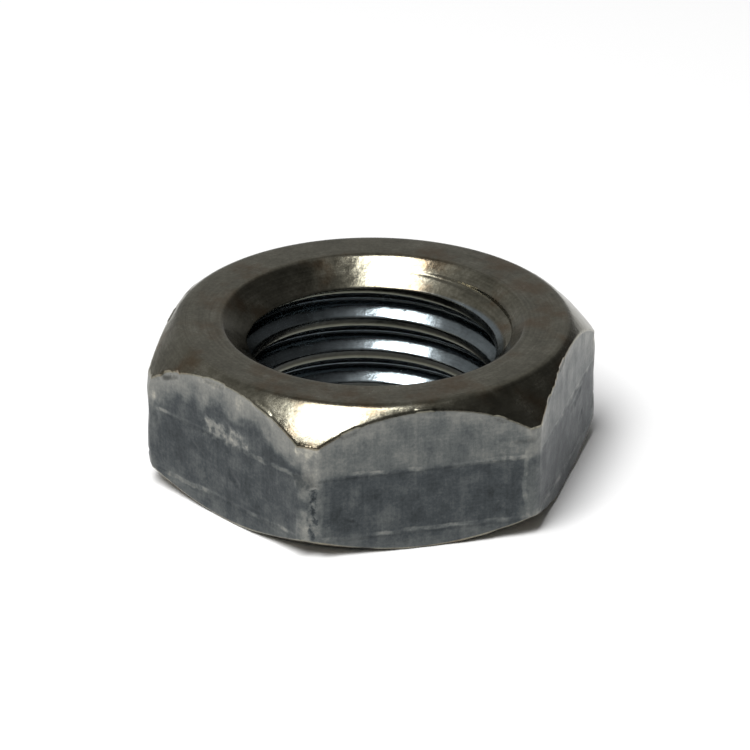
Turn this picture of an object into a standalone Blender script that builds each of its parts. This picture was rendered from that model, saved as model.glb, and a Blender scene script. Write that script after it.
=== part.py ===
"""A hexagon jam nut in steel: 3/4 inch, 10 threads per inch, right hand, one solid piece.

A hexagonal blank is turned to a double-chamfered outline, drilled and countersunk from both
faces, and tapped with a single-start thread.

Metres, +Z up. The origin is the centre of the lower bearing face, +Z is the thread axis,
and two opposite corners of the hexagon lie on the X axis.
"""

import math

import bmesh
import bpy
from mathutils import Matrix

# Hexagon
ACROSS_FLATS = 0.0277
HEIGHT = 0.01065
CORNER_ROUND = 0.0005
CORNER_STEPS = 3

# Turned outline. Each face is a circle a little smaller than the width across flats. The
# upper chamfer is crowned, and steepens towards the corners; the lower one is straight.
TOP_FACE_UNDERSIZE = 0.00088
TOP_CHAMFER_START_ANGLE = math.radians(41.5)
TOP_CHAMFER_END_ANGLE = math.radians(56.0)
TOP_CHAMFER_STEPS = 5
BOTTOM_FACE_UNDERSIZE = 0.0002
BOTTOM_CHAMFER_ANGLE = math.radians(33.6)

# Thread, with the height at which the middle of its groove crosses the +X direction
THREAD_PITCH = 0.00254
MINOR_DIAMETER = 0.0169
THREAD_ANGLE = math.radians(60.0)
CREST_FLAT_PER_PITCH = 1 / 4
ROOT_FLAT_PER_PITCH = 1 / 8
GROOVE_HEIGHT = 0.00195

# Countersinks: the diameter of the rim and the full angle of the cone
TOP_COUNTERSINK_DIAMETER = 0.02095
TOP_COUNTERSINK_ANGLE = math.radians(99.0)
BOTTOM_COUNTERSINK_DIAMETER = 0.0206
BOTTOM_COUNTERSINK_ANGLE = math.radians(120.0)

# How finely round shapes are divided, per turn
TURNED_STEPS = 96
THREAD_STEPS = 48

# How far a cutter runs past what it cuts, and the sharpest edge that is shaded smooth
CLEAR = 0.001
SMOOTH_ANGLE = math.radians(25.0)
MERGE_DISTANCE = 0.00001

HEXAGON_SIDES = 6
CORNER_RADIUS = ACROSS_FLATS / 2 / math.cos(math.pi / HEXAGON_SIDES)


def clear_scene():
    for obj in list(bpy.data.objects):
        bpy.data.objects.remove(obj, do_unlink=True)


def make_collection(name):
    collection = bpy.data.collections.new(name)
    bpy.context.scene.collection.children.link(collection)
    return collection


def blackened_steel():
    """Forged steel with its dark oxide left on, rubbed grey by handling."""
    material = bpy.data.materials.new("blackened_steel")
    material.use_nodes = True
    shader = material.node_tree.nodes["Principled BSDF"]
    shader.inputs["Base Color"].default_value = (0.105, 0.105, 0.098, 1.0)
    shader.inputs["Metallic"].default_value = 1.0
    shader.inputs["Roughness"].default_value = 0.38
    return material


def add_object(name, mesh, collection):
    obj = bpy.data.objects.new(name, mesh)
    collection.objects.link(obj)
    return obj


def as_cutter(obj):
    obj.hide_render = True
    obj.display_type = "WIRE"
    return obj


def cut(obj, name, operation, cutter):
    boolean = obj.modifiers.new(name, "BOOLEAN")
    boolean.operation = operation
    boolean.solver = "EXACT"
    boolean.object = cutter


def turned(name, profile, collection):
    """A solid of revolution. The profile is (radius, height) pairs, down its outer side."""
    mesh = bpy.data.meshes.new(name)
    bm = bmesh.new()
    points = [bm.verts.new((radius, 0.0, height)) for radius, height in profile]
    for start, end in zip(points, points[1:]):
        bm.edges.new((start, end))
    bm.to_mesh(mesh)
    bm.free()
    obj = add_object(name, mesh, collection)
    screw = obj.modifiers.new("turn", "SCREW")
    screw.axis = "Z"
    screw.angle = math.tau
    screw.steps = TURNED_STEPS
    screw.render_steps = TURNED_STEPS
    screw.use_merge_vertices = True
    screw.merge_threshold = MERGE_DISTANCE
    return as_cutter(obj)


def hexagon_bar(name, collection):
    """A length of hexagon bar, longer than the nut is high, with rounded edges."""
    mesh = bpy.data.meshes.new(name)
    bm = bmesh.new()
    onto_x_axis = Matrix.Rotation(math.pi / HEXAGON_SIDES, 4, "Z")
    up_to_height = Matrix.Translation((0.0, 0.0, HEIGHT / 2))
    bmesh.ops.create_cone(
        bm,
        cap_ends=True,
        segments=HEXAGON_SIDES,
        radius1=CORNER_RADIUS,
        radius2=CORNER_RADIUS,
        depth=HEIGHT + 2 * CLEAR,
        matrix=up_to_height @ onto_x_axis,
    )
    bm.to_mesh(mesh)
    bm.free()
    obj = add_object(name, mesh, collection)
    bevel = obj.modifiers.new("corner_round", "BEVEL")
    bevel.width = CORNER_ROUND * math.tan(math.pi / HEXAGON_SIDES)
    bevel.segments = CORNER_STEPS
    bevel.limit_method = "NONE"
    return obj


def turned_outline(collection):
    """The lathe's outline, run out past the corners: a crowned chamfer above, a cone below."""
    top_face = (ACROSS_FLATS - TOP_FACE_UNDERSIZE) / 2
    bottom_face = (ACROSS_FLATS - BOTTOM_FACE_UNDERSIZE) / 2
    start, end = TOP_CHAMFER_START_ANGLE, TOP_CHAMFER_END_ANGLE
    crown = (CORNER_RADIUS - top_face) / (math.sin(end) - math.sin(start))
    profile = [(0.0, HEIGHT)]
    for step in range(TOP_CHAMFER_STEPS + 1):
        slope = start + (end - start) * step / TOP_CHAMFER_STEPS
        radius = top_face + crown * (math.sin(slope) - math.sin(start))
        drop = crown * (math.cos(start) - math.cos(slope))
        profile.append((radius, HEIGHT - drop))
    reach = CORNER_RADIUS + CLEAR
    upper_edge = profile[-1][1] - CLEAR * math.tan(end)
    lower_edge = (reach - bottom_face) * math.tan(BOTTOM_CHAMFER_ANGLE)
    profile += [(reach, upper_edge), (reach, lower_edge), (bottom_face, 0.0), (0.0, 0.0)]
    return turned("turned_outline", profile, collection)


def drill(collection):
    """The tapping drill with a countersink at each end, running past both faces."""
    bore = MINOR_DIAMETER / 2
    top_rim = TOP_COUNTERSINK_DIAMETER / 2
    bottom_rim = BOTTOM_COUNTERSINK_DIAMETER / 2
    top_slope = math.tan(TOP_COUNTERSINK_ANGLE / 2)
    bottom_slope = math.tan(BOTTOM_COUNTERSINK_ANGLE / 2)
    profile = [
        (0.0, HEIGHT + CLEAR),
        (top_rim + CLEAR * top_slope, HEIGHT + CLEAR),
        (bore, HEIGHT - (top_rim - bore) / top_slope),
        (bore, (bottom_rim - bore) / bottom_slope),
        (bottom_rim + CLEAR * bottom_slope, -CLEAR),
        (0.0, -CLEAR),
    ]
    return turned("drill", profile, collection)


def tap(collection):
    """The thread's groove as a solid: its section, carried round and up one pitch a turn."""
    # The section widens past the crests into the empty bore, so that it cuts them cleanly,
    # until only half a crest's width is left between one turn and the next.
    slope = math.tan(THREAD_ANGLE / 2)
    left_between_turns = CREST_FLAT_PER_PITCH * THREAD_PITCH / 2
    half_root = ROOT_FLAT_PER_PITCH * THREAD_PITCH / 2
    half_mouth = (THREAD_PITCH - left_between_turns) / 2
    mouth = MINOR_DIAMETER / 2 - left_between_turns / 2 / slope
    root = mouth + (half_mouth - half_root) / slope
    first = GROOVE_HEIGHT - THREAD_PITCH * math.ceil(1 + GROOVE_HEIGHT / THREAD_PITCH)
    turns = math.ceil(1 + (HEIGHT - first) / THREAD_PITCH)
    section = [(mouth, half_mouth), (root, half_root), (root, -half_root), (mouth, -half_mouth)]

    mesh = bpy.data.meshes.new("tap")
    bm = bmesh.new()
    points = [bm.verts.new((radius, 0.0, first + height)) for radius, height in section]
    face = bm.faces.new(points)
    bmesh.ops.spin(
        bm,
        geom=[*points, *face.edges, face],
        cent=(0.0, 0.0, 0.0),
        axis=(0.0, 0.0, 1.0),
        dvec=(0.0, 0.0, THREAD_PITCH / THREAD_STEPS),
        angle=math.tau * turns,
        steps=THREAD_STEPS * turns,
    )
    bmesh.ops.recalc_face_normals(bm, faces=bm.faces)
    bm.to_mesh(mesh)
    bm.free()
    return as_cutter(add_object("tap", mesh, collection))


def shade_round_faces(obj):
    """Keeps the cut shape as the object's own mesh, with only its real edges sharp."""
    graph = bpy.context.evaluated_depsgraph_get()
    mesh = bpy.data.meshes.new_from_object(obj.evaluated_get(graph))
    obj.modifiers.clear()
    obj.data = mesh
    mesh.shade_smooth()
    mesh.set_sharp_from_angle(angle=SMOOTH_ANGLE)


def main():
    clear_scene()
    parts = make_collection("hexagon_jam_nut")
    cutters = make_collection("cutters")
    nut = hexagon_bar("hex_nut", parts)
    nut.data.materials.append(blackened_steel())
    cut(nut, "turn_outline", "INTERSECT", turned_outline(cutters))
    cut(nut, "drill", "DIFFERENCE", drill(cutters))
    cut(nut, "tap", "DIFFERENCE", tap(cutters))
    shade_round_faces(nut)


main()
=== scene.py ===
# %% [markdown]
# # A worn hexagon jam nut
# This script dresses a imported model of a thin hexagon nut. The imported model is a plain
# faceted solid with true sizes. Here the same nut is made again as a fine mesh, with soft
# edges, bruised corners and a blackened steel surface, and it takes the plain solid's place.

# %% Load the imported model
import math

import bpy
import numpy as np
from mathutils import Matrix, Vector


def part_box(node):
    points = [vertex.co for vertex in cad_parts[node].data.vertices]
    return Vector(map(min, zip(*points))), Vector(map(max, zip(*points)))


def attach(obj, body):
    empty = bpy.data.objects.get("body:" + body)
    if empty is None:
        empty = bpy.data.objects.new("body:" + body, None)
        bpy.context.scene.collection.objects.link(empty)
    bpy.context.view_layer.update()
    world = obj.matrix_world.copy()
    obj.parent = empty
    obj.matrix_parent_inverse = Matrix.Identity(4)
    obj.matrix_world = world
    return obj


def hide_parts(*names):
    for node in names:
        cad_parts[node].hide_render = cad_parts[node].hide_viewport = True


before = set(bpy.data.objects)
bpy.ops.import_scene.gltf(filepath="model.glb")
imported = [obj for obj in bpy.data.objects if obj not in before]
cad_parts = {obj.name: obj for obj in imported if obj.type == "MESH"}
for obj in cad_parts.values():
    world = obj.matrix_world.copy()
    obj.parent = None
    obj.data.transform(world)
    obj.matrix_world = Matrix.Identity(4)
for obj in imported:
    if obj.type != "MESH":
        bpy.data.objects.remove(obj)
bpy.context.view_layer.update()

low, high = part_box("hex_nut")
print("the packed nut runs from", tuple(low), "to", tuple(high))

# %% [markdown]
# ## Driving sizes
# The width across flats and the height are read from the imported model, so the fine nut can't
# drift from it. The chamfers, countersinks and thread repeat the design's own values. The
# blank is a hexagon bar, a lathe gives it its chamfers, and a tap cuts the thread.

# %% Sizes
MM = 0.001
SIDES = 6
HALF_SIDE_ANGLE = math.pi / SIDES
ACROSS_FLATS = high[1] - low[1]
HEIGHT = high[2] - low[2]
APOTHEM = ACROSS_FLATS / 2
CORNER_RADIUS = APOTHEM / math.cos(HALF_SIDE_ANGLE)
HALF_SIDE = APOTHEM * math.tan(HALF_SIDE_ANGLE)
CORNER_ROUND = 0.5 * MM

TOP_FACE_RADIUS = APOTHEM - 0.44 * MM
TOP_CHAMFER_START = math.radians(41.5)
TOP_CHAMFER_END = math.radians(56.0)
BOTTOM_FACE_RADIUS = APOTHEM - 0.1 * MM
BOTTOM_CHAMFER_SLOPE = math.tan(math.radians(33.6))

PITCH = 2.54 * MM
BORE_RADIUS = 8.45 * MM
GROOVE_HEIGHT = 1.95 * MM
TOP_RIM_RADIUS = 10.475 * MM
TOP_SINK_SLOPE = math.tan(math.radians(49.5))
BOTTOM_RIM_RADIUS = 10.3 * MM
BOTTOM_SINK_SLOPE = math.tan(math.radians(60.0))
CLEAR = 1.0 * MM
print(f"across flats {ACROSS_FLATS / MM:.2f} mm, height {HEIGHT / MM:.2f} mm")

# %% [markdown]
# ## Helpers for modelling
# An operator acts on all that is selected, so every step starts from a clean selection. A
# turned shape is drawn as on a lathe: a disc is extruded from ring to ring down an outline.

# %% Modelling helpers
TURNING_STEPS = 360


def select_only(piece):
    bpy.ops.object.select_all(action="DESELECT")
    piece.select_set(True)
    bpy.context.view_layer.objects.active = piece


def finish_with(piece, kind, **settings):
    """Adds a modifier with its settings and applies it at once."""
    select_only(piece)
    modifier = piece.modifiers.new(kind.lower(), kind)
    for name, value in settings.items():
        setattr(modifier, name, value)
    bpy.ops.object.modifier_apply(modifier=modifier.name)


def turn_solid(name, outline):
    """Turns a solid whose outline is (radius, height) pairs from its top to its bottom."""
    radius, height = outline[0]
    bpy.ops.object.select_all(action="DESELECT")
    bpy.ops.mesh.primitive_circle_add(
        vertices=TURNING_STEPS, radius=radius, fill_type="NGON", location=(0, 0, height)
    )
    piece = bpy.context.object
    piece.name = name
    bpy.ops.object.transform_apply(location=True)
    bpy.ops.object.mode_set(mode="EDIT")
    bpy.ops.mesh.select_all(action="SELECT")
    for next_radius, next_height in outline[1:]:
        bpy.ops.mesh.extrude_region_move(
            TRANSFORM_OT_translate={"value": (0, 0, next_height - height)}
        )
        share = next_radius / radius
        bpy.ops.transform.resize(
            value=(share, share, 1), center_override=(0, 0, next_height)
        )
        radius, height = next_radius, next_height
    bpy.ops.mesh.select_all(action="SELECT")
    bpy.ops.mesh.normals_make_consistent(inside=False)
    bpy.ops.object.mode_set(mode="OBJECT")
    return piece


# %% [markdown]
# ## The blank
# A nut this size starts as a slug of hexagon bar. A six-sided cylinder stands in for the
# slug, turned so that two corners lie on the X axis, and a bevel rounds its long edges.

# %% Hexagon blank
bpy.ops.object.select_all(action="DESELECT")
bpy.ops.mesh.primitive_cylinder_add(
    vertices=SIDES,
    radius=CORNER_RADIUS,
    depth=HEIGHT + 2 * CLEAR,
    location=(0, 0, HEIGHT / 2),
    rotation=(0, 0, HALF_SIDE_ANGLE),
)
nut = bpy.context.object
nut.name = "worn_hex_nut"
bpy.ops.object.transform_apply(location=True, rotation=True)
finish_with(
    nut,
    "BEVEL",
    width=CORNER_ROUND * math.tan(HALF_SIDE_ANGLE),
    segments=5,
    limit_method="NONE",
)
print(f"blank {CORNER_RADIUS * 2 / MM:.2f} mm over its corners")

# %% [markdown]
# ## The chamfers
# The lathe takes the corners off above and below. The upper chamfer is crowned, steeper
# towards the corners, and it runs into the face without a hard line, so the outline is worked
# out from one smooth curve. Where it meets a flat it leaves the arc that a nut is known by.

# %% Turned outline
FACE_EDGE_SOFTNESS = 0.13 * MM
OUTLINE_STEP = 0.1 * MM


def chamfer_drop(radius):
    """How far the upper side lies below the top face at this radius."""
    softness = FACE_EDGE_SOFTNESS
    beyond = softness * math.log1p(math.exp((radius - TOP_FACE_RADIUS) / softness))
    start, end = math.sin(TOP_CHAMFER_START), math.sin(TOP_CHAMFER_END)
    crown = (CORNER_RADIUS - TOP_FACE_RADIUS) / (end - start)
    slope = math.asin(start + beyond / crown)
    return crown * (math.cos(TOP_CHAMFER_START) - math.cos(slope))


def turned_side():
    """The nut's outline on the lathe, from the top face down its side to the bottom face."""
    outline = [(TOP_FACE_RADIUS / 2, HEIGHT)]
    for radius in np.arange(TOP_FACE_RADIUS - 0.5 * MM, CORNER_RADIUS, OUTLINE_STEP):
        outline.append((radius, HEIGHT - chamfer_drop(radius)))
    reach = CORNER_RADIUS + CLEAR
    outline.append((reach, outline[-1][1] - CLEAR * math.tan(TOP_CHAMFER_END)))
    outline.append((reach, (reach - BOTTOM_FACE_RADIUS) * BOTTOM_CHAMFER_SLOPE))
    outline.append((BOTTOM_FACE_RADIUS, 0.0))
    return outline


turned_outline = turn_solid("turned_outline", turned_side())
finish_with(nut, "BOOLEAN", operation="INTERSECT", object=turned_outline, solver="EXACT")
print(f"chamfer falls {chamfer_drop(CORNER_RADIUS) / MM:.2f} mm to the corners")

# %% [markdown]
# ## The hole
# A drill and two countersinks open the bore. The upper rim is a little rounded, so the
# cutter flares there along a short curve instead of meeting the face at a point.

# %% Drill and countersinks
RIM_ROUND = 0.22 * MM


def drilled_side():
    """The drill's outline with both countersinks, from above the nut to below it."""
    sink = math.atan(TOP_SINK_SLOPE)
    outer = Vector((TOP_RIM_RADIUS + RIM_ROUND, HEIGHT + 0.002 * MM))
    corner = Vector((TOP_RIM_RADIUS, HEIGHT))
    inner = corner - RIM_ROUND * Vector((math.sin(sink), math.cos(sink)))
    outline = [(outer.x, HEIGHT + CLEAR)]
    for share in np.linspace(0, 1, 6):
        point = outer.lerp(corner, share).lerp(corner.lerp(inner, share), share)
        outline.append((point.x, point.y))
    outline.append((BORE_RADIUS, HEIGHT - (TOP_RIM_RADIUS - BORE_RADIUS) / TOP_SINK_SLOPE))
    outline.append((BORE_RADIUS, (BOTTOM_RIM_RADIUS - BORE_RADIUS) / BOTTOM_SINK_SLOPE))
    outline.append((BOTTOM_RIM_RADIUS + CLEAR * BOTTOM_SINK_SLOPE, -CLEAR))
    return outline


drill = turn_solid("drill", drilled_side())
finish_with(nut, "BOOLEAN", operation="DIFFERENCE", object=drill, solver="EXACT")
print(f"bore {BORE_RADIUS * 2 / MM:.2f} mm")

# %% [markdown]
# ## The thread
# The tap is the groove as a solid. Its section is a ring of points set at the thread's own
# corners: the lower flank starts with a steeper shoulder, where bolts have worn it, and the
# root is rounded. A Screw modifier carries the section up one pitch a turn, two caps close
# it, and it is cut from the bore.

# %% Tap
CREST_FLAT = PITCH / 4
ROOT_RADIUS = 9.62 * MM
ROOT_FLAT = 0.34 * MM
SHOULDER = Vector((0.71, 0.66)) * MM
INTO_BORE = 0.15 * MM
TAP_TURNS = 7
groove_start = GROOVE_HEIGHT - 2 * PITCH
groove_half = (PITCH - CREST_FLAT) / 2
TAP_SECTION = (
    (BORE_RADIUS - INTO_BORE, -groove_half - 0.9 * INTO_BORE),
    (BORE_RADIUS + SHOULDER.x, -groove_half + SHOULDER.y),
    (ROOT_RADIUS, -ROOT_FLAT / 2),
    (ROOT_RADIUS, ROOT_FLAT / 2),
    (BORE_RADIUS - INTO_BORE, groove_half + 0.6 * INTO_BORE),
)

bpy.ops.object.select_all(action="DESELECT")
bpy.ops.mesh.primitive_circle_add(vertices=len(TAP_SECTION), radius=MM)
tap = bpy.context.object
tap.name = "tap"
for point, (radius, rise) in zip(tap.data.vertices, TAP_SECTION):
    point.co = (radius, 0, groove_start + rise)
bpy.ops.object.mode_set(mode="EDIT")
bpy.ops.mesh.select_all(action="DESELECT")
bpy.ops.object.mode_set(mode="OBJECT")
for point in tap.data.vertices:
    point.select = point.co.x > ROOT_RADIUS - 0.01 * MM
bpy.ops.object.mode_set(mode="EDIT")
bpy.ops.mesh.bevel(offset=ROOT_FLAT / 3, segments=3, affect="VERTICES")
bpy.ops.object.mode_set(mode="OBJECT")
finish_with(
    tap,
    "SCREW",
    angle=math.tau,
    screw_offset=PITCH,
    iterations=TAP_TURNS,
    steps=TURNING_STEPS // 2,
    render_steps=TURNING_STEPS // 2,
)
bpy.ops.object.mode_set(mode="EDIT")
bpy.ops.mesh.select_all(action="DESELECT")
bpy.ops.mesh.select_mode(type="EDGE")
bpy.ops.mesh.select_non_manifold()
bpy.ops.mesh.edge_face_add()
bpy.ops.mesh.select_all(action="SELECT")
bpy.ops.mesh.normals_make_consistent(inside=False)
bpy.ops.object.mode_set(mode="OBJECT")
finish_with(nut, "BOOLEAN", operation="DIFFERENCE", object=tap, solver="EXACT")
for cutter in (turned_outline, drill, tap):
    bpy.data.objects.remove(cutter, do_unlink=True)
print(f"thread cut to {ROOT_RADIUS * 2 / MM:.2f} mm over its root, {len(nut.data.polygons)} faces")

# %% [markdown]
# ## A fine skin
# Real edges are never sharp. A voxel remesh gives the whole nut one even skin of small
# squares, and a few rounds of smoothing draw every edge into a small round, as tumbling with
# other nuts does.

# %% Remesh and soften
VOXEL = 0.085 * MM
SMOOTHING_ROUNDS = 5
finish_with(nut, "REMESH", mode="VOXEL", voxel_size=VOXEL)
finish_with(nut, "SMOOTH", factor=0.5, iterations=SMOOTHING_ROUNDS)
print(f"skin of {len(nut.data.polygons)} faces")

# %% [markdown]
# ## Years of handling
# Spanners and other nuts have bruised this one: the corners are flattened, by different
# amounts, the flats are a little wavy, and there are gouges and nicks with raised lips. The
# skin is fine enough to push its points about directly, which is how a sculptor would do it.
# Places on a side are given in millimetres: along it to the right, and up from the bottom.

# %% Places on the sides
CORNERS = [math.radians(60 * side) for side in range(SIDES)]
FLATS = [corner + math.radians(30) for corner in CORNERS]
LEFT_FLAT = math.radians(210)


def on_side(facing, along, up):
    """A point on the flat that faces this way, in metres."""
    out = Vector((math.cos(facing), math.sin(facing), 0))
    right = Vector((-out.y, out.x, 0))
    return out * APOTHEM + right * along * MM + Vector((0, 0, up * MM))


# %% The skin's points
points = np.empty(len(nut.data.vertices) * 3, np.float32)
nut.data.vertices.foreach_get("co", points)
points = points.reshape(-1, 3).astype(np.float64)
normals = np.empty(len(nut.data.vertices) * 3, np.float32)
nut.data.vertices.foreach_get("normal", normals)
normals = normals.reshape(-1, 3).astype(np.float64)
print(len(points), "points in the skin")

# %% Bruised corners and waves
CORNER_WEAR = (0.16, 0.12, 0.2, 0.14, 0.3, 0.1)
LEAST_WEAR = 0.12
WEAR_UNEVENNESS = 0.45
WORN_SHARE = 0.8
CORNER_REACH = 0.2
SIDE_INSET = 0.3
rng = np.random.default_rng(12)


def waves(places, size, count=24):
    """Smooth random waves of about this size in metres, from -1 to 1 or so."""
    total = np.zeros(len(places))
    for _ in range(count):
        way = rng.normal(size=3)
        way /= np.linalg.norm(way)
        per_metre = math.tau / size * rng.uniform(0.6, 1.6)
        total += np.sin(places @ way * per_metre + rng.uniform(0, math.tau))
    return total / math.sqrt(count / 2)


radius = np.hypot(points[:, 0], points[:, 1])
angle = np.arctan2(points[:, 1], points[:, 0])
for corner, wear in zip(CORNERS, CORNER_WEAR):
    away = np.abs((angle - corner + math.pi) % math.tau - math.pi)
    unevenness = WEAR_UNEVENNESS * wear * waves(points, 3.5 * MM)
    limit = CORNER_RADIUS - (LEAST_WEAR + wear + unevenness) * MM
    over = np.where(away < CORNER_REACH, np.clip(radius - limit, 0, None), 0)
    share = (radius - WORN_SHARE * over) / radius
    points[:, 0] *= share
    points[:, 1] *= share
chamfer_height = HEIGHT - np.array([chamfer_drop(min(r, CORNER_RADIUS)) for r in radius])
on_side_wall = np.clip((chamfer_height - points[:, 2]) / (0.8 * MM) - 0.1, 0, 1)
outside = np.where(radius > BOTTOM_FACE_RADIUS - SIDE_INSET * MM, on_side_wall, 0)
swell = 0.022 * waves(points, 6 * MM) + 0.009 * waves(points, 1.8 * MM)
points += normals * (outside * swell * MM)[:, None]
print("corner wear", CORNER_WEAR, "mm")

# %% [markdown]
# ### Where it was marked
# Spanner jaws slip along every flat at one height, and the nut has slid about on its edge,
# which marks the flats near the foot. Nicks gather where a flat meets the chamfer, one flat
# has a slip mark, and the most worn corner has been gouged. Each mark is a start, an end, a
# width and a depth, and a negative depth is a raised burr.

# %% Places of the marks
JAW_LINE_HEIGHT = 6
FOOT_LINE_HEIGHT = 1.5
LINE_HALF_LENGTH = 7
LINE_WIDTH, LINE_DEPTH = 0.13, 0.03
SLIP_LENGTH = 3.5
SLIP_WIDTH, SLIP_DEPTH = 0.6, 0.05
CORNER_GOUGE_TOPS = (5, 3)
CORNER_GOUGE_LENGTH = 2
CORNER_GOUGE_WIDTH, CORNER_GOUGE_DEPTH = 0.24, 0.14
worst_corner = CORNERS[CORNER_WEAR.index(max(CORNER_WEAR))]


def on_worst_corner(up, inset=0.4):
    """A point just beside the edge of the most worn corner, in metres."""
    return on_side(worst_corner + math.radians(30), inset - HALF_SIDE / MM, up)


def on_arc(facing, along):
    """A point on the curve where a flat meets the chamfer, in metres."""
    top = HEIGHT - chamfer_drop(math.hypot(APOTHEM, along * MM))
    return on_side(facing, along, top / MM - 0.15)


corner_gouges = [
    (on_worst_corner(top, 0.55), on_worst_corner(top - CORNER_GOUGE_LENGTH, 0.25))
    for top in CORNER_GOUGE_TOPS
]
slip = [on_side(LEFT_FLAT, side * SLIP_LENGTH / 2, JAW_LINE_HEIGHT + 0.5) for side in (-1, 1)]
print("most worn corner at", round(math.degrees(worst_corner)), "degrees")

# %% Gouges, lines, nicks and bruises
NICKS_PER_ARC = 4
NICK_DEPTHS = (-0.05, 0.05, 0.07, 0.1)
BRUISES_PER_FLAT = 5
gouges = [
    (start, end, CORNER_GOUGE_WIDTH, CORNER_GOUGE_DEPTH) for start, end in corner_gouges
]
gouges.append((*slip, SLIP_WIDTH, SLIP_DEPTH))
for facing in FLATS:
    for line_height in (JAW_LINE_HEIGHT, FOOT_LINE_HEIGHT):
        ends = [
            on_side(facing, side * LINE_HALF_LENGTH, line_height + rng.normal(0, 0.12))
            for side in (-1, 1)
        ]
        gouges.append((*ends, LINE_WIDTH, LINE_DEPTH))
    for _ in range(NICKS_PER_ARC):
        along = rng.uniform(-6.5, 6)
        end = along + rng.uniform(0.3, 1.6)
        depth = rng.choice(NICK_DEPTHS)
        width = rng.uniform(0.12, 0.28)
        gouges.append((on_arc(facing, along), on_arc(facing, end), width, depth))
    for _ in range(BRUISES_PER_FLAT):
        along, up = rng.uniform(-7, 7), rng.uniform(1.5, 8)
        start = on_side(facing, along, up)
        end = on_side(facing, along + rng.normal(0, 1.2), up + rng.normal(0, 0.5))
        gouges.append((start, end, rng.uniform(0.1, 0.25), rng.uniform(0.02, 0.06)))
print(len(gouges), "gouges and nicks")


# %% Press the marks in
def press(places, ways, start, end, width, depth):
    """Presses a groove into the skin, with a low lip on each side of it."""
    start, end = np.array(start), np.array(end)
    run = end - start
    from_middle = np.linalg.norm(places - (start + end) / 2, axis=1)
    nearby = from_middle < np.linalg.norm(run) + 4 * width
    local = places[nearby]
    share = np.clip((local - start) @ run / (run @ run), 0, 1)
    distance = np.linalg.norm(local - start - share[:, None] * run, axis=1) / width
    profile = np.exp(-(distance ** 2)) - 0.3 * np.exp(-((distance - 1.7) ** 2) * 4)
    places[nearby] -= ways[nearby] * (profile * depth)[:, None]


for start, end, width, depth in gouges:
    press(points, normals, start, end, width * MM, depth * MM)
points[:, 2] = np.clip(points[:, 2], 0, None)
nut.data.vertices.foreach_set("co", points.astype(np.float32).ravel())
nut.data.update()
print(f"skin runs from {points[:, 2].min() / MM:.2f} to {points[:, 2].max() / MM:.2f} mm up")

# %% [markdown]
# ## Thinning
# The even skin has far more faces than the flats need. Decimate merges them where the surface
# is plain and keeps them on edges, dents and thread.

# %% Decimate and shade
MOST_TRIANGLES = 190000
finish_with(nut, "DECIMATE", ratio=MOST_TRIANGLES / (2 * len(nut.data.polygons)))
select_only(nut)
bpy.ops.object.shade_smooth()
print(f"{len(nut.data.polygons)} faces left")

# %% [markdown]
# ## Blackened steel
# Forged carbon steel keeps a skin of dark blue-grey oxide and scale. It is a metal with a low,
# cool reflection, and it is rubbed to warm bare grey where hands, spanners and other nuts
# touch it. The chamfer, the upper face and the hole were turned after forging, so they are
# smoother, with fine rings, and a little brown rust has started on them. One material
# holds all of it, and it tells the zones apart by their place on the nut.

# %% Colour and node helpers
def srgb(code):
    """An sRGB hex colour as the linear values that a shader takes."""
    values = [int(code[i:i + 2], 16) / 255 for i in (1, 3, 5)]
    return (*[v / 12.92 if v <= 0.04045 else ((v + 0.055) / 1.055) ** 2.4 for v in values], 1.0)


steel = bpy.data.materials.new("forged_steel_with_black_oxide")
steel.use_nodes = True
steel_tree = steel.node_tree
steel_shader = steel_tree.nodes["Principled BSDF"]


def add_node(kind, sockets, out=0, tree=steel_tree, stops=(), **settings):
    """Adds a node with its settings, fills or links its sockets, and returns one output.

    A colour ramp also takes its stops, as pairs of a position and a hex colour.
    """
    node = tree.nodes.new("ShaderNode" + kind)
    for name, value in settings.items():
        setattr(node, name, value)
    for socket, value in sockets.items():
        if isinstance(value, bpy.types.NodeSocket):
            tree.links.new(value, node.inputs[socket])
        else:
            node.inputs[socket].default_value = value
    if stops:
        elements = node.color_ramp.elements
        while len(elements) < len(stops):
            elements.new(1.0)
        for element, (position, code) in zip(elements, stops):
            element.position = position
            element.color = srgb(code)
    return node.outputs[out]


SMOOTH = {"interpolation_type": "SMOOTHSTEP"}
print("started", steel.name)


# %% [markdown]
# ### Where a point is
# Everything is worked out in millimetres from the object's own coordinates: the radius, the
# height, how far the point is out towards a flat, and how far it is from the flat's edges.

# %% Position on the nut
object_place = add_node("TexCoord", {}, out=3)
place = add_node("VectorMath", {0: object_place, "Scale": 1 / MM}, operation="SCALE")
height = add_node("SeparateXYZ", {0: place}, out=2)
level = add_node("VectorMath", {0: place, 1: (1, 1, 0)}, operation="MULTIPLY")
reach = add_node("VectorMath", {0: level}, out=1, operation="LENGTH")

# %% Distances from the edges of a flat
# A slow pattern makes every edge of wear wander. The chamfer's drop is a parabola through
# its start, its middle and its end.
wander = add_node("TexNoise", {"Vector": place, "Scale": 1 / 2.2, "Detail": 3.0, "Roughness": 0.6})
wander = add_node("MapRange", {"Value": wander, 1: 0.3, 2: 0.7, 3: -0.55, 4: 0.55}, clamp=False)

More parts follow.
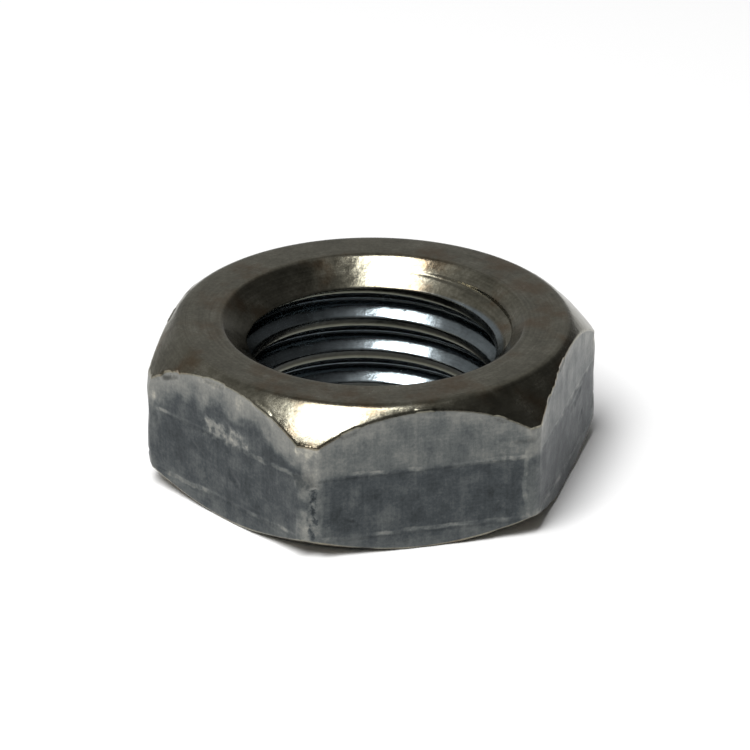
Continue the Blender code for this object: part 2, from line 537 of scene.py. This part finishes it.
beyond = add_node("Math", {0: reach, 1: TOP_FACE_RADIUS / MM}, operation="SUBTRACT")
beyond = add_node("Math", {0: beyond, 1: 0.0}, operation="MAXIMUM")
half_way = (CORNER_RADIUS - TOP_FACE_RADIUS) / 2
drop_half = chamfer_drop(TOP_FACE_RADIUS + half_way) / MM
drop_full = chamfer_drop(CORNER_RADIUS) / MM
half_way /= MM
curve = (drop_full - 2 * drop_half) / (2 * half_way ** 2)
lean = (drop_half - curve * half_way ** 2) / half_way
drop = add_node("Math", {0: beyond, 1: curve, 2: lean}, operation="MULTIPLY_ADD")
drop = add_node("Math", {0: drop, 1: beyond}, operation="MULTIPLY")
chamfer_height = add_node("Math", {0: HEIGHT / MM, 1: drop}, operation="SUBTRACT")
below_arc = add_node("Math", {0: chamfer_height, 1: height}, operation="SUBTRACT")

beyond = add_node("Math", {0: reach, 1: BOTTOM_FACE_RADIUS / MM}, operation="SUBTRACT")
beyond = add_node("Math", {0: beyond, 1: 0.0}, operation="MAXIMUM")
above_foot = {0: beyond, 1: -BOTTOM_CHAMFER_SLOPE, 2: height}
above_foot = add_node("Math", above_foot, operation="MULTIPLY_ADD")

along = {0: reach, 1: reach, 2: -((APOTHEM / MM) ** 2)}
along = add_node("Math", along, operation="MULTIPLY_ADD")
along = add_node("Math", {0: along, 1: 0.0}, operation="MAXIMUM")
along = add_node("Math", {0: along, 1: 0.5}, operation="POWER")
from_corner = add_node("Math", {0: HALF_SIDE / MM, 1: along}, operation="SUBTRACT")

# %% Zones
side_start = BOTTOM_FACE_RADIUS / MM - SIDE_INSET
outside = add_node("Math", {0: reach, 1: side_start}, operation="GREATER_THAN")
under_arc = add_node("MapRange", {"Value": below_arc, 1: 0.06, 2: 0.2}, **SMOOTH)
over_foot = add_node("MapRange", {"Value": above_foot, 1: 0.03, 2: 0.12}, **SMOOTH)
on_flat = add_node("Math", {0: under_arc, 1: over_foot}, operation="MULTIPLY")
on_flat = add_node("Math", {0: on_flat, 1: outside}, operation="MULTIPLY")
rim = TOP_RIM_RADIUS / MM
in_hole = add_node("MapRange", {"Value": reach, 1: rim + 0.15, 2: rim - 0.1}, **SMOOTH)
below_sink = add_node("MapRange", {"Value": height, 1: 9.05, 2: 8.85}, **SMOOTH)
on_thread = add_node("Math", {0: below_sink, 1: in_hole}, operation="MULTIPLY")
print(len(steel_tree.nodes), "nodes so far")

# %% [markdown]
# ### Patterns
# The scale is mottled in blotches of 1 to 3 mm with a finer grain inside them. Forging and
# rubbing leave streaks up the flats and thin scratches along them. The lathe leaves rings.

# %% Mottling, streaks and rings
blotches = {"Vector": place, "Scale": 1 / 1.7, "Detail": 5.0, "Roughness": 0.62}
blotches = add_node("TexNoise", blotches)
grain = add_node("TexNoise", {"Vector": place, "Scale": 1 / 0.22, "Detail": 2.0, "Roughness": 0.7})
upward = {0: place, 1: (1 / 0.28, 1 / 0.28, 1 / 5)}
upward = add_node("VectorMath", upward, operation="MULTIPLY")
streaks = add_node("TexNoise", {"Vector": upward, "Scale": 1.0, "Detail": 3.0, "Roughness": 0.6})
sideways = {0: place, 1: (1 / 4.5, 1 / 4.5, 1 / 0.16)}
sideways = add_node("VectorMath", sideways, operation="MULTIPLY")
scratches = {"Vector": sideways, "Scale": 1.0, "Detail": 2.0, "Roughness": 0.5}
scratches = add_node("TexNoise", scratches)
ring_place = add_node("CombineXYZ", {0: reach, 1: height, 2: 0.0})
ring_place = {0: ring_place, 1: (1 / 0.16, 1 / 0.2, 0)}
ring_place = add_node("VectorMath", ring_place, operation="MULTIPLY")
slow_turn = add_node("VectorMath", {0: level, "Scale": 1 / 7}, operation="SCALE")
ring_place = add_node("VectorMath", {0: ring_place, 1: slow_turn}, operation="ADD")
rings = add_node("TexNoise", {"Vector": ring_place, "Scale": 1.0, "Detail": 3.0, "Roughness": 0.65})
rust = add_node("TexNoise", {"Vector": place, "Scale": 1 / 3.2, "Detail": 4.0, "Roughness": 0.6})
print(len(steel_tree.nodes), "nodes so far")

# %% [markdown]
# ### Rubs and pits on the flats
# A spanner's jaw leaves a line about 6 mm up and another near the foot, with a darker panel
# of untouched scale between them. The band under the arc and the corners are rubbed most.

# %% Marks between two places
def near(start, end, width):
    """1 on the line between two places, falling to 0 at this width, with a ragged edge."""
    run = (end - start) / MM
    start = start / MM
    offset = add_node("VectorMath", {0: ragged_place, 1: start}, operation="SUBTRACT")
    share = {0: offset, 1: run / run.length_squared}
    share = add_node("VectorMath", share, out=1, operation="DOT_PRODUCT")
    share = add_node("Math", {0: share, 1: 0.0}, operation="ADD", use_clamp=True)
    nearest = add_node("VectorMath", {0: run, "Scale": share}, operation="SCALE")
    gap = add_node("VectorMath", {0: offset, 1: nearest}, out=1, operation="DISTANCE")
    return add_node("MapRange", {"Value": gap, 1: width, 2: width * 0.35}, **SMOOTH)


ragged = add_node("TexNoise", {"Vector": place, "Scale": 1 / 0.6, "Detail": 3.0, "Roughness": 0.7}, out=1)
ragged = add_node("VectorMath", {0: ragged, 1: (0.5, 0.5, 0.5)}, operation="SUBTRACT")
ragged_place = {0: ragged, 1: (0.9, 0.9, 0.9), 2: place}
ragged_place = add_node("VectorMath", ragged_place, operation="MULTIPLY_ADD")

# %% Lines and broken marks
EDGE_LINE_INSET = 0.8
broken = add_node("TexNoise", {"Vector": place, "Scale": 1 / 0.9, "Detail": 3.0, "Roughness": 0.6})
broken = add_node("MapRange", {"Value": broken, 1: 0.38, 2: 0.6, 3: 0.2}, **SMOOTH)
fading = add_node("TexNoise", {"Vector": place, "Scale": 1 / 3.5, "Detail": 2.0, "Roughness": 0.5})
fading = add_node("MapRange", {"Value": fading, 1: 0.4, 2: 0.58}, **SMOOTH)


def line_at(distance, value, width):
    """1 where a distance has this value, falling to 0 at this width, and broken up."""
    away = add_node("Math", {0: wander, 1: 0.3, 2: distance}, operation="MULTIPLY_ADD")
    away = add_node("Math", {0: away, 1: value}, operation="SUBTRACT")
    away = add_node("Math", {0: away}, operation="ABSOLUTE")
    line = add_node("MapRange", {"Value": away, 1: width, 2: width * 0.35}, **SMOOTH)
    line = add_node("Math", {0: line, 1: fading}, operation="MULTIPLY")
    return add_node("Math", {0: line, 1: broken}, operation="MULTIPLY")


def patchy(mark):
    """A mark broken up as a hard rub is, where only the high spots are touched."""
    return add_node("Math", {0: mark, 1: broken}, operation="MULTIPLY")


def strongest(marks):
    """The strongest of some marks at each point, each multiplied by its strength."""
    total = None
    for mark, strength in marks:
        mark = add_node("Math", {0: mark, 1: strength}, operation="MULTIPLY")
        total = mark if total is None else add_node("Math", {0: total, 1: mark}, operation="MAXIMUM")
    return total


corner_rub = near(on_worst_corner(7.5, 0.2), on_worst_corner(1, 0.2), 1.15)
rubbed = strongest([
    (line_at(height, JAW_LINE_HEIGHT, 0.24), 0.42),
    (line_at(height, FOOT_LINE_HEIGHT, 0.24), 0.4),
    (line_at(from_corner, EDGE_LINE_INSET, 0.22), 0.35),
    (patchy(near(*slip, 0.95)), 0.8),
    (patchy(corner_rub), 0.38),
])
pitted = strongest([(near(start, end, 0.32), 0.75) for start, end in corner_gouges])
print(len(steel_tree.nodes), "nodes so far")

# %% Wear near the edges
# One flat has been rubbed far more than the rest, in a wide band under its arc.
toward_left = {0: place, 1: on_side(LEFT_FLAT, 0, 0).normalized()}
toward_left = add_node("VectorMath", toward_left, out=1, operation="DOT_PRODUCT")
on_left_flat = {"Value": toward_left, 1: APOTHEM / MM - 0.6, 2: APOTHEM / MM - 0.3}
on_left_flat = add_node("MapRange", on_left_flat)

from_edge = add_node("Math", {0: below_arc, 1: from_corner}, operation="MINIMUM")
from_edge = add_node("Math", {0: from_edge, 1: wander}, operation="ADD")
arc_wear = add_node("MapRange", {"Value": from_edge, 1: 1.7, 2: 0.3}, **SMOOTH)
wide_wear = add_node("Math", {0: below_arc, 1: wander}, operation="ADD")
wide_wear = add_node("MapRange", {"Value": wide_wear, 1: 2.3, 2: 1.4}, **SMOOTH)
wide_wear = add_node("Math", {0: wide_wear, 1: on_left_flat}, operation="MULTIPLY")
foot_wear = add_node("Math", {0: above_foot, 1: wander}, operation="ADD")
foot_wear = add_node("MapRange", {"Value": foot_wear, 1: 1.6, 2: 0.2}, **SMOOTH)
panel_height = add_node("Math", {0: wander, 1: 0.4, 2: height}, operation="MULTIPLY_ADD")
above_panel = add_node("MapRange", {"Value": panel_height, 1: 5.6, 2: 6.4}, **SMOOTH)
less_rubbed = add_node("Math", {0: 1.0, 1: on_left_flat}, operation="SUBTRACT")
above_panel = add_node("Math", {0: above_panel, 1: less_rubbed}, operation="MULTIPLY")

# %% Tone and colour of the flats
tone = add_node("MapRange", {"Value": blotches, 1: 0.3, 2: 0.7, 3: 0.18, 4: 0.42}, clamp=False)
for pattern, amount in ((grain, 0.26), (streaks, 0.16), (scratches, 0.07)):
    pattern = add_node("Math", {0: pattern, 1: 0.5}, operation="SUBTRACT")
    tone = add_node("Math", {0: pattern, 1: amount, 2: tone}, operation="MULTIPLY_ADD")
for wear, amount in ((arc_wear, 0.12), (foot_wear, 0.1), (wide_wear, 0.3),
                     (above_panel, 0.2), (rubbed, 0.62), (pitted, -0.42)):
    tone = add_node("Math", {0: wear, 1: amount, 2: tone}, operation="MULTIPLY_ADD")

flat_colour = add_node("ValToRGB", {0: tone}, stops=[
    (0.0, "#1f2223"), (0.3, "#474b4d"), (0.5, "#626564"), (0.75, "#868681"), (1.0, "#b9b5a7"),
])
print(len(steel_tree.nodes), "nodes so far")

# %% Colour of the turned and tapped surfaces
turned_tone = {"Value": rings, 1: 0.25, 2: 0.75, 3: 0.32, 4: 0.62}
turned_tone = add_node("MapRange", turned_tone, clamp=False)
for pattern, amount in ((blotches, 0.7), (grain, 0.6)):
    pattern = add_node("Math", {0: pattern, 1: 0.5}, operation="SUBTRACT")
    turned_tone = {0: pattern, 1: amount, 2: turned_tone}
    turned_tone = add_node("Math", turned_tone, operation="MULTIPLY_ADD")
turned_colour = add_node("ValToRGB", {0: turned_tone}, stops=[
    (0.0, "#4b493e"), (0.5, "#807d6f"), (1.0, "#aba89b"),
])
rusty = add_node("MapRange", {"Value": rust, 1: 0.48, 2: 0.72, 4: 0.55}, **SMOOTH)
turned_colour = {0: rusty, 6: turned_colour, 7: srgb("#6b5236")}
turned_colour = add_node("Mix", turned_colour, out=2, data_type="RGBA")
print(len(steel_tree.nodes), "nodes so far")

# %% [markdown]
# ### The thread's colours, with painted light
# Where a point lies in the groove follows from its height and its angle. The lower flank is
# painted lighter, a painted highlight where the softbox shows in it, and a thin light line at the
# crest's lower edge is a painted reflection. The crest itself is darker and browner.

# %% Colour round the groove
place_x, place_y = (add_node("SeparateXYZ", {0: place}, out=axis) for axis in (0, 1))
turned_by = add_node("Math", {0: place_y, 1: place_x}, operation="ARCTAN2")
climb = {0: turned_by, 1: -PITCH / MM / math.tau, 2: height}
climb = add_node("Math", climb, operation="MULTIPLY_ADD")
groove_middle = 0.5 - GROOVE_HEIGHT / PITCH
in_pitch = add_node("Math", {0: climb, 1: MM / PITCH, 2: groove_middle}, operation="MULTIPLY_ADD")
in_pitch = add_node("Math", {0: in_pitch}, operation="FRACT")
# The stops from 0.14 to 0.36 paint the highlight on the lower flank, and the stop at 0.88 paints a
# reflection on the crest's lower edge.
groove_colour_with_painted_light = add_node("ValToRGB", {0: in_pitch}, stops=[
    (0.0, "#3a3a35"), (0.11, "#3f4140"), (0.14, "#8e979b"), (0.36, "#7b8488"), (0.4, "#545b5f"),
    (0.84, "#555b5d"), (0.88, "#66685f"), (0.93, "#5a5a50"), (0.97, "#3a3a35"),
])
shade = add_node("MapRange", {"Value": turned_tone, 1: 0.2, 2: 0.8, 3: 0.75, 4: 1.3})
thread_colour_with_painted_light = add_node("VectorMath", {0: groove_colour_with_painted_light, "Scale": shade}, operation="SCALE")
colour = {0: on_thread, 6: turned_colour, 7: thread_colour_with_painted_light}
colour = add_node("Mix", colour, out=2, data_type="RGBA")
colour = add_node("Mix", {0: on_flat, 6: colour, 7: flat_colour}, out=2, data_type="RGBA")
print(len(steel_tree.nodes), "nodes so far")

# %% [markdown]
# ### Gloss and relief
# Oxide on the flats is dull, and rubbed places are smoother. Turned surfaces are glossy. The
# relief is only a few hundredths of a millimetre, so it is left to bump.

# %% Roughness and bump
flat_gloss = add_node("MapRange", {"Value": tone, 1: 0.1, 2: 0.9, 3: 0.52, 4: 0.36})
turned_gloss = add_node("MapRange", {"Value": blotches, 1: 0.3, 2: 0.7, 3: 0.16, 4: 0.28})
gloss = add_node("Mix", {0: on_flat, 2: turned_gloss, 3: flat_gloss}, data_type="FLOAT")

lathe_marks = add_node("Math", {0: rings, 1: 0.12}, operation="MULTIPLY")
side_marks = add_node("Math", {0: streaks, 1: grain}, operation="ADD")
marks = add_node("Mix", {0: on_flat, 2: lathe_marks, 3: side_marks}, data_type="FLOAT")
relief = add_node("Bump", {"Height": marks, "Distance": 0.012 * MM, "Strength": 1.0})
for pattern, depth in ((blotches, 0.03 * MM), (rubbed, 0.02 * MM)):
    relief = {"Height": pattern, "Distance": depth, "Strength": 1.0, "Normal": relief}
    relief = add_node("Bump", relief)

steel_shader.inputs["Metallic"].default_value = 1.0
steel_tree.links.new(colour, steel_shader.inputs["Base Color"])
steel_tree.links.new(gloss, steel_shader.inputs["Roughness"])
steel_tree.links.new(relief, steel_shader.inputs["Normal"])
nut.data.materials.clear()
nut.data.materials.append(steel)
print(len(steel_tree.nodes), "nodes in the steel")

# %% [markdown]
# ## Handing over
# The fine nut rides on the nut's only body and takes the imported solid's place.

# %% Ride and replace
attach(nut, "root")
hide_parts("hex_nut")

# %% [markdown]
# ## Floor and camera
# The nut lies on a wide sheet of white paper. The camera has a long lens, about a third of a
# metre away, and looks down at 26 degrees from a little to the left of the front.

# %% Paper floor
bpy.ops.object.select_all(action="DESELECT")
bpy.ops.mesh.primitive_plane_add(size=3.0, location=(0, 0, low[2]))
floor = bpy.context.object
floor.name = "paper_floor"
paper = bpy.data.materials.new("matt_white_paper")
paper.use_nodes = True
paper_shader = paper.node_tree.nodes["Principled BSDF"]
paper_shader.inputs["Base Color"].default_value = srgb("#efefef")
paper_shader.inputs["Roughness"].default_value = 0.9
paper_shader.inputs["Specular IOR Level"].default_value = 0.2
floor.data.materials.append(paper)
print("paper under the nut at", floor.location.z)

# %% Camera
CAMERA_AZIMUTH = math.radians(-103.94)
CAMERA_ELEVATION = math.radians(26.19)
CAMERA_ROLL = math.radians(0.26)
CAMERA_DISTANCE = 321.4 * MM
LENS = 223.7
look_at = Vector((0.16 * MM, 0.14 * MM, 6.17 * MM))

level_back = Vector((math.cos(CAMERA_AZIMUTH), math.sin(CAMERA_AZIMUTH), 0))
straight_up = Vector((0, 0, 1))
back = level_back * math.cos(CAMERA_ELEVATION) + straight_up * math.sin(CAMERA_ELEVATION)
level_right = straight_up.cross(back).normalized()
level_top = back.cross(level_right)
right = level_right * math.cos(CAMERA_ROLL) + level_top * math.sin(CAMERA_ROLL)
top = level_top * math.cos(CAMERA_ROLL) - level_right * math.sin(CAMERA_ROLL)
bpy.ops.object.select_all(action="DESELECT")
bpy.ops.object.camera_add()
camera = bpy.context.object
camera.name = "camera"
turn = Matrix((right, top, back)).transposed().to_4x4()
camera.matrix_world = Matrix.Translation(look_at + back * CAMERA_DISTANCE) @ turn
camera.data.lens = LENS
camera.data.sensor_width = 36
camera.data.clip_start = 0.01
bpy.context.scene.camera = camera
print(f"camera {CAMERA_DISTANCE:.3f} m away")

# %% [markdown]
# ## Light
# One long softbox hangs over the nut and leans out to the left and towards the camera. It
# draws the bright patches on the chamfer, the countersink and the thread, and it throws the
# soft shadow on the right. A dim white room fills in the rest. The room is darker on the
# right and a little darker overhead and behind the camera.

# %% Softbox
SOFTBOX_DISTANCE = 0.6
SOFTBOX_SIZE = (0.27, 0.42)
SOFTBOX_WATTS = 4.9
way = (level_right * -0.23 + level_back * 0.32 + straight_up * 0.92).normalized()
long_way = level_right * -0.55 + level_back * 0.83
bpy.ops.object.select_all(action="DESELECT")
bpy.ops.object.light_add(type="AREA")
softbox = bpy.context.object
softbox.name = "softbox"
softbox.data.shape = "RECTANGLE"
softbox.data.size, softbox.data.size_y = SOFTBOX_SIZE
softbox.data.energy = SOFTBOX_WATTS
long_side = (long_way - way * long_way.dot(way)).normalized()
lamp_turn = Matrix((long_side.cross(way), long_side, way)).transposed().to_4x4()
softbox.matrix_world = Matrix.Translation(way * SOFTBOX_DISTANCE) @ lamp_turn
print("softbox", SOFTBOX_SIZE, "m,", SOFTBOX_WATTS, "W")

# %% Room
ROOM_BRIGHTNESS = 0.32
DARK_SIDE_BRIGHTNESS = 0.07
CEILING_SHARE = 0.6
FRONT_SHARE = 0.5
room = bpy.data.worlds.new("dim_white_room")
room.use_nodes = True
room_tree = room.node_tree
room_light = room_tree.nodes["Background"]
room_light.inputs["Color"].default_value = srgb("#ffffff")
looking = add_node("TexCoord", {}, tree=room_tree)
to_right = {0: looking, 1: level_right}
to_right = add_node("VectorMath", to_right, out=1, tree=room_tree, operation="DOT_PRODUCT")
brightness = {"Value": to_right, 1: 0.2, 2: 0.65, 3: ROOM_BRIGHTNESS, 4: DARK_SIDE_BRIGHTNESS}
brightness = add_node("MapRange", brightness, tree=room_tree, **SMOOTH)
upness = add_node("SeparateXYZ", {0: looking}, out=2, tree=room_tree)
ceiling = {"Value": upness, 1: 0.6, 2: 0.85, 3: 1.0, 4: CEILING_SHARE}
ceiling = add_node("MapRange", ceiling, tree=room_tree, **SMOOTH)
to_front = {0: looking, 1: level_back}
to_front = add_node("VectorMath", to_front, out=1, tree=room_tree, operation="DOT_PRODUCT")
front = {"Value": to_front, 1: 0.2, 2: 0.7, 3: 1.0, 4: FRONT_SHARE}
front = add_node("MapRange", front, tree=room_tree, **SMOOTH)
for share in (ceiling, front):
    dimmed = {0: brightness, 1: share}
    brightness = add_node("Math", dimmed, tree=room_tree, operation="MULTIPLY")
room_tree.links.new(brightness, room_light.inputs["Strength"])
bpy.context.scene.world = room
bpy.context.scene.view_settings.view_transform = "Standard"
print(len(room_tree.nodes), "nodes in the room")
